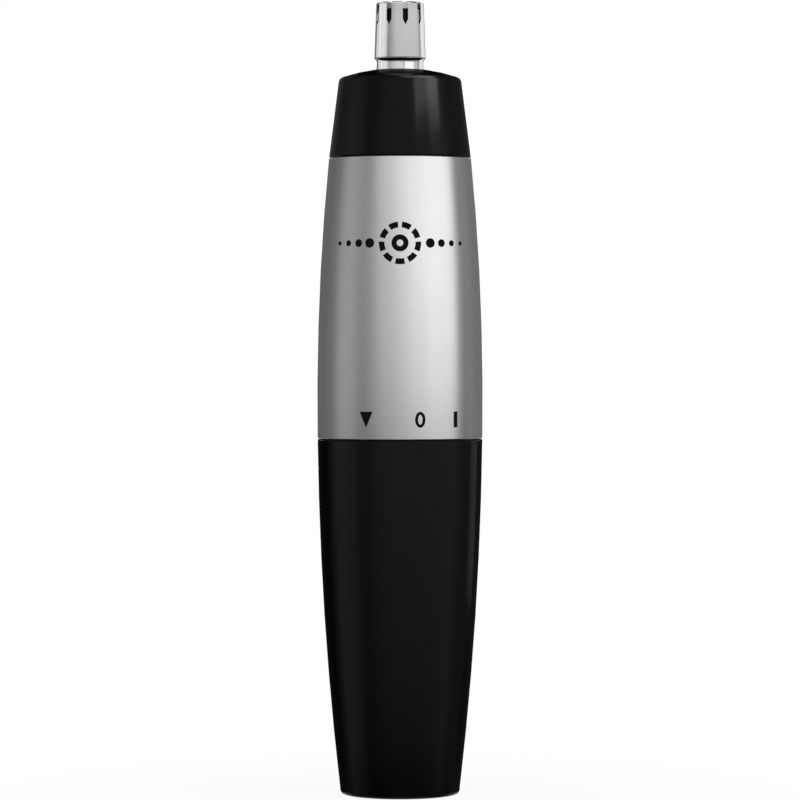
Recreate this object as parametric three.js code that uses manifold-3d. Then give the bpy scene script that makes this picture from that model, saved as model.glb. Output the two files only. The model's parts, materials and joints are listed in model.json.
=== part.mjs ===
// A nose hair trimmer for one AA cell: a twist-off battery housing, a silver barrel round the motor, a black
// nose collar and a plated rotary head. Millimetres, +Z up, the origin at the centre of the flat foot, the front
// facing -Y. Azimuths are in degrees, from the front towards +X.
import * as THREE from "three";
import { mergeVertices } from "three/addons/utils/BufferGeometryUtils.js";
import Module from "manifold-3d";

// Driving dimensions.
const OVERALL_HEIGHT = 131.9;
const WIDEST = { radius: 13.78, z: 66 }; // where the barrel-shaped body is thickest
const LOWER_ARC = 560; // radius of the side outline below the widest point
const UPPER_ARC = 410; // and above it
const HOUSING_TOP = 59.2; // the seam where the battery housing turns
const SLEEVE_TOP = 106; // the seam under the nose collar
const SEAM_GAP = 0.1;
const FLOOR = 2; // thickness of the housing's floor
const HOUSING_WALL = 1.7;
const SLEEVE_WALL = 0.9;
const COLLAR_WALL = 1.6;

// The cell.
const CELL = { radius: 7.25, bottom: 5.5, length: 50.5, buttonHeight: 1.1, buttonRadius: 2.75 };

// The bayonet between battery housing and stub.
const MARK_OFF = 14; // azimuth of the housing's pointer, under the 0 on the barrel
const TURN_ON = 27.6; // from 0 to I
const TURN_OPEN = 37.9; // from 0 to the release mark
const STUB = { bottom: 48, bore: 10.1, radius: 11.2, collarRadius: 11.95, collarBottom: 55.4, top: 62.5 };
const HOUSING_BORE = { radius: 12.2, bottom: 47 };
const LUG = { half: 10, outer: 12, bottom: 50, top: 51.4 };
const TAB = { inner: 11.4, bottom: 51.9, top: 53.3 };
const LUG_CLEARANCE = 2; // degrees
const SEAL_Z = 57.4;
const POINTER = { half: 0.95, drop: 2.2, below: 0.2, proud: 0.12, root: 0.4 };

// The motor, a small can motor with two flats.
const MOTOR = { radius: 10.2, flat: 7.7, wall: 0.8, bottom: 66.5, top: 87, shaft: 1 };
const END_CAP = { bottom: 63.2, top: 66.4 };

// The head.
const BORE = 4.25; // the collar's hole for the head
const RIM = { radius: 10.15, z: 119.3 }; // top edge of the collar's cone
const DOME_TOP = 121; // height of the collar's dome, carried on to the axis
const PLUG = 4.1;
const STEM = { radius: 3, bottom: 112, top: 115.3 };
const LIP = { radius: 4.26, z: 122.55 }; // widest ring of the head, at its foot
const NECK = { radius: 3.86, top: 121.82, cove: 0.94, sweep: 50 }; // the neck under the lip, and its hollow curve
const TIP_RADIUS = 3.96; // radius of the head at its top
const CUTTER_WALL = 0.35;
const CUTTER_TOP = 1.1; // thickness of the slotted cap's top
const SLOTS = { count: 9, width: 0.9, point: 128, shoulder: 128.9, inner: 2.2, first: 13 };
const CROSS = { reach: 3.5, width: 1.7, gauge: 0.35, foot: 127.6 }; // the inner cutter
const SPINDLE = 1.4;
const HEAD_TURN = 40; // degrees that release the head
const HEAD_LUG = { azimuth: 90, half: 15, outer: 4.05, bottom: 112.3, top: 113.5 };
const LEDGE = { inner: 3.3, bottom: 113.8, top: 115.1 };
const DOG = { prong: 22, lobe: 20, lead: 47 }; // half widths, and the lobe's lead over the prong, in degrees

const ROUND = 36; // flats round a large turned piece
const FINE = 24; // round a small one
const TINY = 16; // and round a shaft or a bearing
const RUN = 0.1; // gap between a piece and its seat

const wasm = await Module();
wasm.setup();

const radians = THREE.MathUtils.degToRad;

const material = (color, roughness, metalness) => new THREE.MeshStandardMaterial({ color, roughness, metalness });
const MATERIALS = {
  blackGloss: material(0x121213, 0.28, 0),
  blackMatte: material(0x1c1c1e, 0.6, 0),
  silver: material(0xb4b5b7, 0.32, 1),
  chrome: material(0xd9dadc, 0.08, 1),
  steel: material(0x9a9da1, 0.35, 1),
  blade: material(0xc4c6ca, 0.22, 1),
  ivory: material(0xe4e0d4, 0.5, 0),
  brass: material(0xc9a24a, 0.3, 1),
  copper: material(0xb3673a, 0.35, 1),
  magnet: material(0x3a3a3d, 0.8, 0.2),
  rubber: material(0x17171a, 0.75, 0),
  redInsulation: material(0xa8241c, 0.5, 0),
  wrapper: material(0x2f6a52, 0.4, 0),
  fibre: material(0xd8d2c0, 0.8, 0),
};

// Radius of the body's outside at height z, on the two arcs that meet at the widest point.
function bodyRadius(z) {
  const arc = z > WIDEST.z ? UPPER_ARC : LOWER_ARC;
  return WIDEST.radius - (arc - Math.sqrt(arc ** 2 - (z - WIDEST.z) ** 2));
}

// Points on the body's outside moved in by depth, from one height to another.
function bodyLine(from, to, steps, depth = 0) {
  return Array.from({ length: steps + 1 }, (_, i) => {
    const z = from + ((to - from) * i) / steps;
    return [bodyRadius(z) - depth, z];
  });
}

// The collar is a straight cone from the sleeve's top radius to its rim.
function collarRadius(z) {
  const foot = bodyRadius(SLEEVE_TOP);
  return foot + ((RIM.radius - foot) * (z - SLEEVE_TOP)) / (RIM.z - SLEEVE_TOP);
}

// A shape turned about Z. The outline runs up the outside and down the inside, as [radius, height].
function turned(outline, segments = ROUND) {
  const points = outline.map(([radius, z]) => new THREE.Vector2(radius, z));
  if (points[0].x > 0) points.push(points[0].clone());
  return new THREE.LatheGeometry(points, segments).rotateX(Math.PI / 2);
}

const disc = (radius, bottom, top, segments = FINE) =>
  turned([[0, bottom], [radius, bottom], [radius, top], [0, top]], segments);

const ring = (inner, outer, bottom, top, segments = FINE) =>
  turned([[inner, bottom], [outer, bottom], [outer, top], [inner, top]], segments);

function torus(major, minor, z, segments) {
  const outline = Array.from({ length: 8 }, (_, i) => {
    const angle = (i * Math.PI) / 4;
    return [major + minor * Math.cos(angle), z + minor * Math.sin(angle)];
  });
  return turned(outline, segments);
}

function box(width, depth, height, x, y, z) {
  return new THREE.BoxGeometry(width, depth, height).translate(x, y, z + height / 2);
}

// A block between two radii, centred on an azimuth.
function sector(inner, outer, azimuth, half, bottom, top) {
  const [from, to] = [radians(azimuth - half - 90), radians(azimuth + half - 90)];
  const shape = new THREE.Shape();
  shape.absarc(0, 0, outer, from, to, false);
  shape.absarc(0, 0, inner, to, from, true);
  const curveSegments = Math.ceil(half / 12);
  return new THREE.ExtrudeGeometry(shape, { depth: top - bottom, bevelEnabled: false, curveSegments })
    .translate(0, 0, bottom);
}

// A sheet-metal strip: a centre line of [distance from the axis, height] given a thickness, then a width.
function strip(line, thickness, width, azimuth = 0) {
  const points = line.map(([x, z]) => new THREE.Vector2(x, z));
  const side = (sign) => points.map((point, i) => {
    const before = points[Math.max(i - 1, 0)];
    const after = points[Math.min(i + 1, points.length - 1)];
    const a = point.clone().sub(i ? before : point).normalize();
    const b = after.clone().sub(point).normalize();
    const along = (i ? a : b).clone().add(i < points.length - 1 ? b : a).normalize();
    const mitre = Math.abs((i ? a : b).dot(along)) || 1;
    const normal = new THREE.Vector2(-along.y, along.x);
    return point.clone().addScaledVector(normal, (sign * thickness) / 2 / mitre);
  });
  const shape = new THREE.Shape([...side(-1), ...side(1).reverse()]);
  const geometry = new THREE.ExtrudeGeometry(shape, { depth: width, bevelEnabled: false });
  geometry.translate(0, 0, -width / 2);
  const out = new THREE.Vector3(0, -1, 0);
  const up = new THREE.Vector3(0, 0, 1);
  geometry.applyMatrix4(new THREE.Matrix4().makeBasis(out, up, out.clone().cross(up)));
  return geometry.rotateZ(radians(azimuth));
}

// Round wire along a curve.
function wire(curve, radius, steps) {
  const shape = new THREE.Shape();
  shape.absarc(0, 0, radius, 0, 2 * Math.PI, false);
  return new THREE.ExtrudeGeometry(shape, { steps, extrudePath: curve, curveSegments: 3, bevelEnabled: false });
}

class Coil extends THREE.Curve {
  constructor(bottomRadius, topRadius, bottom, top, turns) {
    super();
    Object.assign(this, { bottomRadius, topRadius, bottom, top, turns });
  }
  getPoint(t) {
    const radius = this.bottomRadius + (this.topRadius - this.bottomRadius) * t;
    const angle = 2 * Math.PI * this.turns * t;
    const z = this.bottom + (this.top - this.bottom) * t;
    return new THREE.Vector3(radius * Math.cos(angle), radius * Math.sin(angle), z);
  }
}

// A closed geometry as a solid that can be cut and joined.
function solid(geometry) {
  const bare = geometry.clone();
  bare.deleteAttribute("normal");
  bare.deleteAttribute("uv");
  const merged = mergeVertices(bare, 1e-4);
  return new wasm.Manifold(new wasm.Mesh({
    numProp: 3,
    vertProperties: new Float32Array(merged.attributes.position.array),
    triVerts: new Uint32Array(merged.index.array),
  }));
}

// A solid back as a geometry.
function surface(body) {
  const mesh = body.getMesh();
  return new THREE.BufferGeometry()
    .setAttribute("position", new THREE.BufferAttribute(new Float32Array(mesh.vertProperties), 3))
    .setIndex(new THREE.BufferAttribute(new Uint32Array(mesh.triVerts), 1));
}

const join = (...geometries) => surface(geometries.map(solid).reduce((a, b) => a.add(b)));
const cut = (geometry, ...tools) => surface(tools.map(solid).reduce((a, b) => a.subtract(b), solid(geometry)));
const repeat = (count, make) => Array.from({ length: count }, (_, i) => make((i * 360) / count));

// The small raised pointer under the housing's rim.
function pointer() {
  const { half, drop, proud, root } = POINTER;
  const outline = [[-half, 0], [0, -drop], [half, 0]];
  const shape = new THREE.Shape(outline.map(([x, z]) => new THREE.Vector2(x, z)));
  return new THREE.ExtrudeGeometry(shape, { depth: proud + root, bevelEnabled: false })
    .rotateX(Math.PI / 2)
    .translate(0, root - bodyRadius(HOUSING_TOP), HOUSING_TOP - POINTER.below)
    .rotateZ(radians(MARK_OFF));
}

function housingShell() {
  const foot = 0.5;
  return turned([
    [0, 0], [bodyRadius(0) - foot, 0], [bodyRadius(0) - 0.15, 0.15],
    ...bodyLine(foot, HOUSING_TOP - 0.15, 6),
    [bodyRadius(HOUSING_TOP) - 0.15, HOUSING_TOP], [HOUSING_BORE.radius + 0.3, HOUSING_TOP],
    [HOUSING_BORE.radius, HOUSING_TOP - 0.3], [HOUSING_BORE.radius, HOUSING_BORE.bottom],
    ...bodyLine(FLOOR, HOUSING_BORE.bottom - 1.5, 4, HOUSING_WALL).reverse(), [0, FLOOR],
  ]);
}

// Six fins that hold the cell upright, left clear at the back for the contact strip.
function cellRibs() {
  const top = 44;
  const core = solid(turned([
    [0, FLOOR - 0.5], ...bodyLine(FLOOR - 0.5, top, 4, HOUSING_WALL - 0.5), [0, top],
  ]));
  const cell = solid(disc(CELL.radius + 0.4, 0, top + 1));
  const reach = 13;
  const fin = (azimuth) => solid(box(0.9, reach, top, 0, -reach / 2, 0).rotateZ(radians(azimuth + 30)));
  return repeat(6, fin).map((one) => one.intersect(core).subtract(cell));
}

// Inward tabs and stops of the bayonet: a lug slides under a tab, and drops out where the tab ends.
function bayonetTabs() {
  const free = LUG.half + LUG_CLEARANCE;
  const open = MARK_OFF + TURN_OPEN;
  const tabHalf = 60 - free;
  const stopHalf = (120 - TURN_ON - TURN_OPEN - 2 * free) / 2;
  const depth = HOUSING_BORE.radius + 0.4;
  return repeat(3, (turn) => [
    sector(TAB.inner, depth, open + 60 + turn, tabHalf, TAB.bottom, TAB.top),
    sector(TAB.inner, depth, open + free + stopHalf + turn, stopHalf, LUG.bottom - 0.5, TAB.top),
  ]).flat();
}

function batteryHousing() {
  const additions = [...cellRibs(), ...[...bayonetTabs(), pointer()].map(solid)];
  return surface(additions.reduce((a, b) => a.add(b), solid(housingShell())));
}

function contactStrip() {
  const wallTop = STUB.bottom - 0.55;
  return strip([[-5, 2.25], [7.75, 2.25], [10.95, wallTop], [9.75, wallTop]], 0.3, 4, 180);
}

const batterySpring = () => wire(new Coil(4.4, 2.3, 2.85, 5.05, 3), 0.35, 42);

const CELL_TOP = CELL.bottom + CELL.length;
const CAN_TOP = CELL_TOP - CELL.buttonHeight;

const CAN = { radius: CELL.radius - 0.25, wall: 0.3, rim: CELL.bottom + 0.5 };

function batteryCan() {
  const inner = CAN.radius - CAN.wall;
  return turned([
    [CAN.radius, CAN.rim], [CAN.radius, CAN_TOP - 0.6], [CAN.radius - 0.6, CAN_TOP], [0, CAN_TOP],
    [0, CAN_TOP - CAN.wall], [inner - 0.6, CAN_TOP - CAN.wall], [inner, CAN_TOP - CAN.wall - 0.6], [inner, CAN.rim],
  ]);
}

const batteryCore = () => disc(CAN.radius - CAN.wall - RUN, CELL.bottom + 1.1, CAN_TOP - 1, ROUND);

// The dished plate that closes the cell's negative end.
function batteryBase() {
  const { bottom } = CELL;
  return turned([
    [0, bottom], [4.6, bottom], [5, bottom + 0.4], [6.5, bottom + 0.4], [6.5, bottom + 1], [0, bottom + 1],
  ]);
}

function batteryWrapper() {
  return ring(CELL.radius - 0.2, CELL.radius, CELL.bottom + 0.4, CAN_TOP - 0.2, ROUND);
}

function batteryCap() {
  const { buttonRadius } = CELL;
  return turned([
    [0, CAN_TOP + 0.02], [buttonRadius, CAN_TOP + 0.02], [buttonRadius, CELL_TOP - 0.3],
    [buttonRadius - 0.3, CELL_TOP], [0, CELL_TOP],
  ], FINE);
}

const batteryInsulator = () => ring(CELL.buttonRadius + 0.2, CELL.radius - 1.1, CAN_TOP + 0.02, CAN_TOP + 0.2);

const housingSeal = () => torus(11.6, 0.42, SEAL_Z, ROUND);

function bayonetStub() {
  const { bottom, bore, radius, collarRadius: wide, collarBottom, top } = STUB;
  const groove = { bottom: SEAL_Z - 0.6, top: SEAL_Z + 0.6, radius: 11.1 };
  const body = turned([
    [bore, bottom], [radius, bottom], [radius, collarBottom], [wide, collarBottom], [wide, groove.bottom],
    [groove.radius, groove.bottom], [groove.radius, groove.top], [wide, groove.top], [wide, top], [bore, top],
  ]);
  const lugs = repeat(3, (turn) =>
    sector(radius - 0.2, LUG.outer, MARK_OFF + turn, LUG.half, LUG.bottom, LUG.top));
  return join(body, ...lugs);
}

const CONTACT_AZIMUTH = 180 + TURN_ON; // stands over the contact strip when the body is turned to I
const RIVET_X = -5;
const CEILING = { bottom: 57.6, top: 58.9 };

// Plastic disc that closes the battery side: its skirt centres the cell's positive end.
function contactCarrier() {
  const skirt = { inner: 7.75, outer: 8.9, bottom: 50.5 };
  const body = turned([
    [0, CEILING.bottom], [skirt.inner, CEILING.bottom], [skirt.inner, skirt.bottom], [skirt.outer, skirt.bottom],
    [skirt.outer, CEILING.bottom - 0.7], [STUB.bore - RUN, CEILING.bottom - 0.7], [STUB.bore - RUN, CEILING.top],
    [0, CEILING.top],
  ]);
  const legSlot = box(3.2, 2, 4, 0, -10, 56).rotateZ(radians(CONTACT_AZIMUTH));
  return cut(body, legSlot, disc(0.8, 57, 60).translate(RIVET_X, 0, 0));
}

function positiveContact() {
  const [high, low] = [CEILING.bottom - 0.25, CELL_TOP + 0.3];
  const leaf = strip([[-6.5, high], [-3.2, high], [-0.8, low], [0.8, low], [3.2, high], [6.5, high]], 0.25, 4, 90);
  return cut(leaf, disc(0.8, 56, 60).translate(RIVET_X, 0, 0));
}

function contactRivet() {
  return turned([
    [0, 56.9], [1.1, 56.9], [1.1, 57.15], [0.65, 57.15], [0.65, CEILING.top + RUN],
    [1.1, CEILING.top + RUN], [1.1, CEILING.top + 0.4], [0, CEILING.top + 0.4],
  ], TINY).translate(RIVET_X, 0, 0);
}

function switchContact() {
  const pad = STUB.bottom - 0.17;
  return strip([[11.1, pad], [9.75, pad], [9.75, 60]], 0.25, 2.4, CONTACT_AZIMUTH);
}

const TERMINAL = { y: 6.5, bottom: 60.2 };

const leadWire = (points) =>
  wire(new THREE.CatmullRomCurve3(points.map((point) => new THREE.Vector3(...point))), 0.45, 12);

const positiveWire = () =>
  leadWire([[RIVET_X, 0, 59.85], [-5.2, -2.2, 60.3], [-3.6, -5.4, 60.4], [-1.5, -TERMINAL.y, 61.2]]);

const negativeWire = () =>
  leadWire([[-4.1, 7.5, 59.6], [-3.6, 6.6, 60.6], [-2.6, 6.4, 61.2], [-1.5, TERMINAL.y, 61.2]]);

// Moulded tube inside the barrel: it seats the motor, and its spigots take the stub below and the collar above.
function motorFrame() {
  const shoulder = MOTOR.top + RUN;
  const tube = turned([
    [STUB.collarRadius + RUN, 59.75], ...bodyLine(59.75, 105.5, 5, SLEEVE_WALL + 0.15),
    [9.6, 105.5], [9.6, 109.5], [8, 109.5], [8, 103.5], [2.65, 103.5], [2.65, 101], [8.6, 101],
    [8.6, shoulder], [11.4, shoulder], [11.4, 63], [STUB.collarRadius + RUN, 63],
  ]);
  const ribs = repeat(6, (azimuth) => sector(MOTOR.radius + 0.15, 11.8, azimuth, 5, 67, shoulder + 0.5));
  return join(tube, ...ribs);
}

function barrelSleeve() {
  const bottom = HOUSING_TOP + SEAM_GAP;
  const edge = 0.15;
  const inner = bodyLine(bottom, SLEEVE_TOP, 5, SLEEVE_WALL).reverse();
  return turned([
    [bodyRadius(bottom) - edge, bottom], ...bodyLine(bottom + edge, SLEEVE_TOP - edge, 5),
    [bodyRadius(SLEEVE_TOP) - edge, SLEEVE_TOP], ...inner,
  ]);
}

// Height of the collar's domed top at a radius.
const domeHeight = (radius) => DOME_TOP - 1.64 * (radius / 9.87) ** 2;

function noseCollar() {
  const bottom = SLEEVE_TOP + SEAM_GAP;
  const ceiling = 117.8;
  const groove = { radius: 5.15, bottom: 117.4, top: 118.6 };
  const tube = { inner: 4.6, outer: 6, bottom: 111.9 };
  const body = turned([
    [collarRadius(bottom) - 0.1, bottom], [collarRadius(bottom + 0.15), bottom + 0.15],
    [collarRadius(RIM.z - 0.5), RIM.z - 0.5], [RIM.radius - 0.15, RIM.z - 0.1], [9.6, domeHeight(9.6)],
    [7, domeHeight(7)], [BORE, domeHeight(BORE)],
    [BORE, groove.top], [groove.radius, groove.top], [groove.radius, groove.bottom], [BORE, groove.bottom],
    [BORE, LEDGE.top], [LEDGE.inner, LEDGE.top], [LEDGE.inner, LEDGE.bottom], [tube.inner, LEDGE.bottom],
    [tube.inner, tube.bottom], [tube.outer, tube.bottom], [tube.outer, ceiling],
    [collarRadius(ceiling) - COLLAR_WALL, ceiling], [collarRadius(bottom) - COLLAR_WALL, bottom],
  ]);
  const slot = (azimuth) =>
    sector(LEDGE.inner - 0.3, BORE + 0.05, azimuth, HEAD_LUG.half + 3, LEDGE.bottom - 0.1, LEDGE.top + 0.1);
  return cut(body, ...repeat(2, (turn) => slot(HEAD_LUG.azimuth + HEAD_TURN + turn)));
}

// Outline of the motor: a circle with two flats, shrunk by inset.
function motorShape(inset = 0) {
  const radius = MOTOR.radius - inset;
  const corner = Math.acos((MOTOR.flat - inset) / radius);
  const shape = new THREE.Shape();
  shape.absarc(0, 0, radius, corner, Math.PI - corner, false);
  shape.absarc(0, 0, radius, Math.PI + corner, 2 * Math.PI - corner, false);
  return shape;
}

const motorBlock = (bottom, top, inset) =>
  new THREE.ExtrudeGeometry(motorShape(inset), { depth: top - bottom, bevelEnabled: false, curveSegments: 4 })
    .translate(0, 0, bottom);

function motorCan() {
  const hollow = motorBlock(MOTOR.bottom - 1, MOTOR.top - MOTOR.wall, MOTOR.wall);
  const cup = cut(motorBlock(MOTOR.bottom, MOTOR.top), hollow);
  const boss = disc(3, MOTOR.top - 0.3, MOTOR.top + 1.6);
  return cut(join(cup, boss), disc(1.7, MOTOR.top - 2, MOTOR.top + 2));
}

function motorEndCap() {
  const body = join(motorBlock(END_CAP.bottom, END_CAP.top), disc(3, END_CAP.bottom - 1.4, END_CAP.bottom + 0.3));
  return cut(body, disc(1.7, END_CAP.bottom - 2, END_CAP.top + 1));
}

const motorBearing = (bottom, top) => ring(MOTOR.shaft + 0.06, 1.6, bottom, top, TINY);
const terminal = (y) => box(1.8, 0.4, END_CAP.bottom - RUN - TERMINAL.bottom, 0, y, TERMINAL.bottom);
const magnet = (azimuth) => sector(6.8, MOTOR.radius - MOTOR.wall - RUN, azimuth, 44, 70, 84);
const brush = (x) => box(0.3, 2.4, 2, x, 0, 67.6);
const motorShaft = () => disc(MOTOR.shaft, 62.2, 96.5, TINY);

const POLES = { neck: 1, tip: 6.3, bottom: 72, top: 82 };

// Three-pole laminated core on the shaft.
function armatureCore() {
  const pole = (azimuth) => [
    box(2 * POLES.neck, 5.4, POLES.top - POLES.bottom, 0, -3.2, POLES.bottom).rotateZ(radians(azimuth)),
    sector(5.1, POLES.tip, azimuth, 48, POLES.bottom, POLES.top),
  ];
  const hub = disc(2.1, POLES.bottom, POLES.top);
  return cut(join(hub, ...repeat(3, pole).flat()), disc(MOTOR.shaft + 0.04, 70, 84, TINY));
}

// Coil of copper round one pole's neck.
function armatureWinding(azimuth) {
  const [bottom, top] = [POLES.bottom - 1.2, POLES.top + 1.2];
  const block = box(3.6, 1.5, top - bottom, 0, -3.9, bottom);
  const neck = box(2 * POLES.neck + 0.1, 4, POLES.top - POLES.bottom + 0.1, 0, -3.9, POLES.bottom - 0.05);
  return cut(block, neck).rotateZ(radians(azimuth));
}

const commutator = () => ring(MOTOR.shaft + 0.04, 2.3, 67.4, 70.2, TINY);

// Plastic shaft that carries the motor's turn up to the head, with two prongs on top.
function driveShaft() {
  const cup = { bottom: 104.6, top: 107.9, radius: 3.4 };
  const body = turned([
    [MOTOR.shaft + 0.05, 89.2], [2.6, 89.2], [2.6, 98], [2, 98.6], [2, cup.bottom], [cup.radius, cup.bottom],
    [cup.radius, cup.top], [0, cup.top], [0, 97], [MOTOR.shaft + 0.05, 97],
  ], FINE);
  const prongs = repeat(2, (azimuth) => sector(1.9, cup.radius - 0.1, azimuth, DOG.prong, cup.top - 0.2, 111));
  return join(body, ...prongs);
}

function driveBushing() {
  return turned([[2.15, 101.2], [2.55, 101.2], [2.55, 103.6], [3.2, 103.6], [3.2, 104.2], [2.15, 104.2]], FINE);
}

const headSeal = () => torus(4.7, 0.36, 118, FINE);

// The hollow curve that runs from the neck out to the lip.
function neckCove() {
  const steps = 4;
  return Array.from({ length: steps + 1 }, (_, i) => {
    const angle = radians(180 - (NECK.sweep * i) / steps);
    return [NECK.radius + NECK.cove * (1 + Math.cos(angle)), NECK.top + NECK.cove * Math.sin(angle)];
  });
}

// Plated base of the head: stem with two lugs, plug, neck and lip, with a spigot for the slotted cap.
function headBase() {
  const { radius, bottom, top } = STEM;
  const body = turned([
    [2.65, bottom], [radius, bottom], [radius, top], [PLUG, top], [PLUG, 120.2], [NECK.radius + 0.07, 120.5],
    ...neckCove(), [LIP.radius, LIP.z], [LIP.radius - 0.03, LIP.z + 0.08], [3.75, LIP.z + 0.08],
    [3.75, 124.6], [2.65, 124.6],
  ], FINE);
  const lug = (azimuth) =>
    sector(radius - 0.15, HEAD_LUG.outer, HEAD_LUG.azimuth + azimuth, HEAD_LUG.half, HEAD_LUG.bottom, HEAD_LUG.top);
  return join(body, ...repeat(2, lug));
}

const CAP_CEILING = OVERALL_HEIGHT - CUTTER_TOP;

// Slotted cap, the fixed outer blade.
function outerCutter() {
  const bottom = LIP.z + 0.12;
  const body = turned([
    [LIP.radius - CUTTER_WALL, bottom], [LIP.radius, bottom], [TIP_RADIUS, OVERALL_HEIGHT - 0.35],
    [TIP_RADIUS - 0.12, OVERALL_HEIGHT - 0.1], [TIP_RADIUS - 0.4, OVERALL_HEIGHT], [0, OVERALL_HEIGHT],
    [0, CAP_CEILING], [TIP_RADIUS - CUTTER_WALL, CAP_CEILING],
  ]);
  const half = SLOTS.width / 2;
  const high = OVERALL_HEIGHT + 1;
  const outline = [[-half, high], [-half, SLOTS.shoulder], [0, SLOTS.point], [half, SLOTS.shoulder], [half, high]];
  const shape = new THREE.Shape(outline.map(([x, z]) => new THREE.Vector2(x, z)));
  const slot = (azimuth) => new THREE.ExtrudeGeometry(shape, { depth: 3, bevelEnabled: false })
    .rotateX(Math.PI / 2)
    .translate(0, -SLOTS.inner, 0)
    .rotateZ(radians(azimuth + SLOTS.first));
  return cut(body, ...repeat(SLOTS.count, slot));
}

const spindleBush = () => ring(SPINDLE + RUN, 2.55, 112.1, 114.1);
const CLIP = { bottom: 111.45, top: 111.85, groove: 1.1 };
const spindleClip = () => sector(CLIP.groove + 0.05, 2.3, 0, 150, CLIP.bottom, CLIP.top);

const CROSS_AZIMUTH = SLOTS.first - 180 / SLOTS.count;
const CROSS_TOP = CAP_CEILING - RUN;

// Black spindle that turns inside the head: two lobes at its foot meet the drive shaft's prongs, and the inner
// cutter sits in a cross-shaped seat in its top.
function cutterCarrier() {
  const body = turned([
    [0, 108.2], [SPINDLE, 108.2], [SPINDLE, CLIP.bottom - 0.05], [CLIP.groove, CLIP.bottom - 0.05],
    [CLIP.groove, CLIP.top + 0.05], [SPINDLE, CLIP.top + 0.05], [SPINDLE, 124.95], [3.2, 124.95], [3.3, 125.3],
    [3.3, 127], [3, 127.4], [3, CROSS_TOP], [0, CROSS_TOP],
  ], FINE);
  const lobes = repeat(2, (turn) => sector(1.2, 3, DOG.lead + turn, DOG.lobe, 108.2, 111.1));
  const seat = (azimuth) =>
    box(CROSS.width + 2 * RUN, 2 * CROSS.reach, 1, 0, 0, CROSS_TOP - CROSS.gauge - RUN)
      .rotateZ(radians(CROSS_AZIMUTH + azimuth));
  return cut(join(body, ...lobes), seat(0), seat(90));
}

// Stamped steel cross with four legs that wipe the inside of the slotted cap.
function innerCutter() {
  const { reach, width, gauge, foot } = CROSS;
  const bar = (azimuth) => box(width, 2 * reach, gauge, 0, 0, CROSS_TOP - gauge).rotateZ(radians(azimuth));
  const inset = 0.12 + gauge / 2 - reach; // a leg's flat sheet is cut to the cap's curve
  const leg = (azimuth) => box(width, gauge, CROSS_TOP - foot, 0, inset, foot).rotateZ(radians(azimuth));
  const trimmed = solid(disc(reach, foot, CROSS_TOP));
  const cross = [bar(0), bar(90), ...repeat(4, leg)].map(solid).reduce((a, b) => a.add(b));
  return surface(cross.intersect(trimmed)).rotateZ(radians(CROSS_AZIMUTH));
}

const bladeSpring = () => wire(new Coil(2, 2, 114.4, 124.6, 5), 0.22, 60);

function mesh(name, geometry, look) {
  const made = new THREE.Mesh(geometry, MATERIALS[look]);
  made.name = name;
  return made;
}

function group(...children) {
  return new THREE.Group().add(...children);
}

const housing = () => group(
  mesh("battery_housing", batteryHousing(), "blackGloss"),
  mesh("contact_strip", contactStrip(), "steel"),
  mesh("battery_spring", batterySpring(), "steel"),
);

const battery = () => group(
  mesh("battery_can", batteryCan(), "steel"),
  mesh("battery_core", batteryCore(), "magnet"),
  mesh("battery_base", batteryBase(), "steel"),
  mesh("battery_wrapper", batteryWrapper(), "wrapper"),
  mesh("battery_cap", batteryCap(), "steel"),
  mesh("battery_insulator", batteryInsulator(), "fibre"),
);

const electrics = () => group(
  mesh("contact_carrier", contactCarrier(), "ivory"),
  mesh("positive_contact", positiveContact(), "brass"),
  mesh("contact_rivet", contactRivet(), "brass"),
  mesh("switch_contact", switchContact(), "brass"),
  mesh("positive_wire", positiveWire(), "redInsulation"),
  mesh("negative_wire", negativeWire(), "rubber"),
);

const motor = () => group(
  mesh("motor_can", motorCan(), "steel"),
  mesh("motor_end_cap", motorEndCap(), "ivory"),
  mesh("motor_bearing_front", motorBearing(MOTOR.top - 0.6, MOTOR.top + 1.5), "brass"),
  mesh("motor_bearing_rear", motorBearing(END_CAP.bottom - 1, END_CAP.bottom + 1), "brass"),
  mesh("motor_terminal_positive", terminal(-TERMINAL.y), "brass"),
  mesh("motor_terminal_negative", terminal(TERMINAL.y), "brass"),
  mesh("motor_magnet_front", magnet(0), "magnet"),
  mesh("motor_magnet_rear", magnet(180), "magnet"),
  mesh("motor_brush_left", brush(-2.6), "copper"),
  mesh("motor_brush_right", brush(2.6), "copper"),
);

const drive = () => group(
  mesh("motor_shaft", motorShaft(), "steel"),
  mesh("armature_core", armatureCore(), "steel"),
  ...repeat(3, (azimuth) => mesh(`armature_winding_${azimuth / 120 + 1}`, armatureWinding(azimuth), "copper")),
  mesh("commutator", commutator(), "copper"),
  mesh("drive_shaft", driveShaft(), "ivory"),
);

const upperBody = () => group(
  mesh("bayonet_stub", bayonetStub(), "blackMatte"),
  mesh("motor_frame", motorFrame(), "blackMatte"),
  mesh("barrel_sleeve", barrelSleeve(), "silver"),
  mesh("nose_collar", noseCollar(), "blackGloss"),
  mesh("drive_bushing", driveBushing(), "brass"),
  electrics(),
  motor(),
  drive(),
);

const head = () => group(
  mesh("head_base", headBase(), "chrome"),
  mesh("outer_cutter", outerCutter(), "chrome"),
  mesh("spindle_bush", spindleBush(), "ivory"),
  mesh("spindle_clip", spindleClip(), "steel"),
  mesh("cutter_carrier", cutterCarrier(), "blackMatte"),
  mesh("inner_cutter", innerCutter(), "blade"),
  mesh("blade_spring", bladeSpring(), "steel"),
);

const seals = () => group(
  mesh("housing_seal", housingSeal(), "rubber"),
  mesh("head_seal", headSeal(), "rubber"),
);

export default group(housing(), battery(), seals(), upperBody(), head());
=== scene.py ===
"""Looks for the nose hair trimmer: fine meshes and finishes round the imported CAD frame.

Lengths in this script are millimetres unless a name says otherwise; MM turns them into Blender's metres.
Azimuths are degrees from the front (-Y) towards +X. Outlines are lists of (radius, height).
"""

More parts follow.
